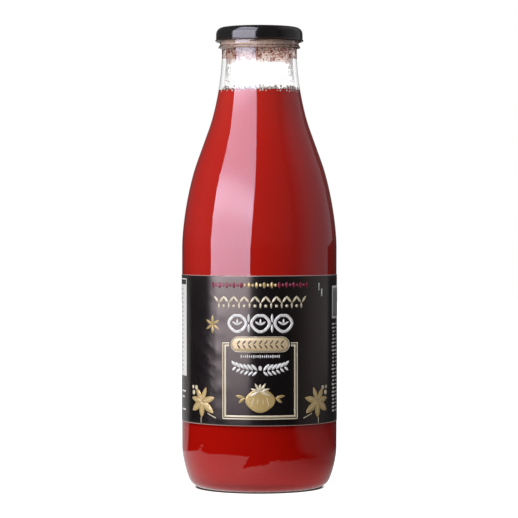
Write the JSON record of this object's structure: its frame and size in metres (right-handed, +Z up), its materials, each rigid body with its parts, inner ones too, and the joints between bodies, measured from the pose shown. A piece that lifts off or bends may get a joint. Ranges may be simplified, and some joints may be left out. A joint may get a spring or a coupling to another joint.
{
  "type": "tomato juice bottle",
  "caption": "Round glass bottle with a long tapered shoulder, filled with red vegetable juice, closed by a twist-off metal lid and dressed with a dark wrap-round label.",
  "frame": {"origin": "centre of the bottle's base, on the surface it stands on", "axes": "+Z up along the bottle's axis, the front of the label faces -Y"},
  "size_m": [0.0874, 0.0876, 0.2582],
  "materials": {
    "bottle_glass": "clear flint glass, smooth and glossy",
    "juice": "opaque red liquid",
    "lid_lacquer": "glossy black lacquer on tinplate",
    "label_paper": "coated paper, printed dark with gold, white and red"
  },
  "bodies": {
    "root": {"glass_bottle": "bottle_glass", "tomato_juice": "juice", "twist_lid": "lid_lacquer", "wrap_label": "label_paper"}
  },
  "joints": []
}
